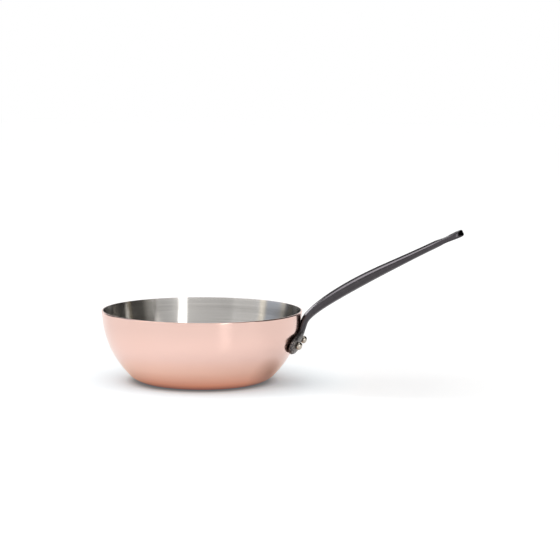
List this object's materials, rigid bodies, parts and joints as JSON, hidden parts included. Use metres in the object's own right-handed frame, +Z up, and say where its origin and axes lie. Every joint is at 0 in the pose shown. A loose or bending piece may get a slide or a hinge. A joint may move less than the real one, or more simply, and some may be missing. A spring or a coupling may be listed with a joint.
{
  "type": "saute pan",
  "caption": "Round-bellied copper saute pan with a bonded stainless steel lining and a long riveted cast iron handle that ends in a hanging eye.",
  "frame": {"origin": "centre of the flat base, on the surface the pan stands on", "axes": "+Z up along the bowl's axis, +X outwards along the handle, XZ the plane of symmetry"},
  "size_m": [0.4293, 0.2396, 0.1856],
  "materials": {
    "copper": "polished copper",
    "lining_steel": "finely brushed round the bowl",
    "cast_iron": "fine cast grain, dark finish with a dull sheen",
    "rivet_steel": "bright, slightly warm stainless"
  },
  "bodies": {
    "root": {"copper_body": "copper", "steel_lining": "lining_steel", "cast_handle": "cast_iron", "rivet_near": "rivet_steel", "rivet_far": "rivet_steel"}
  },
  "joints": []
}
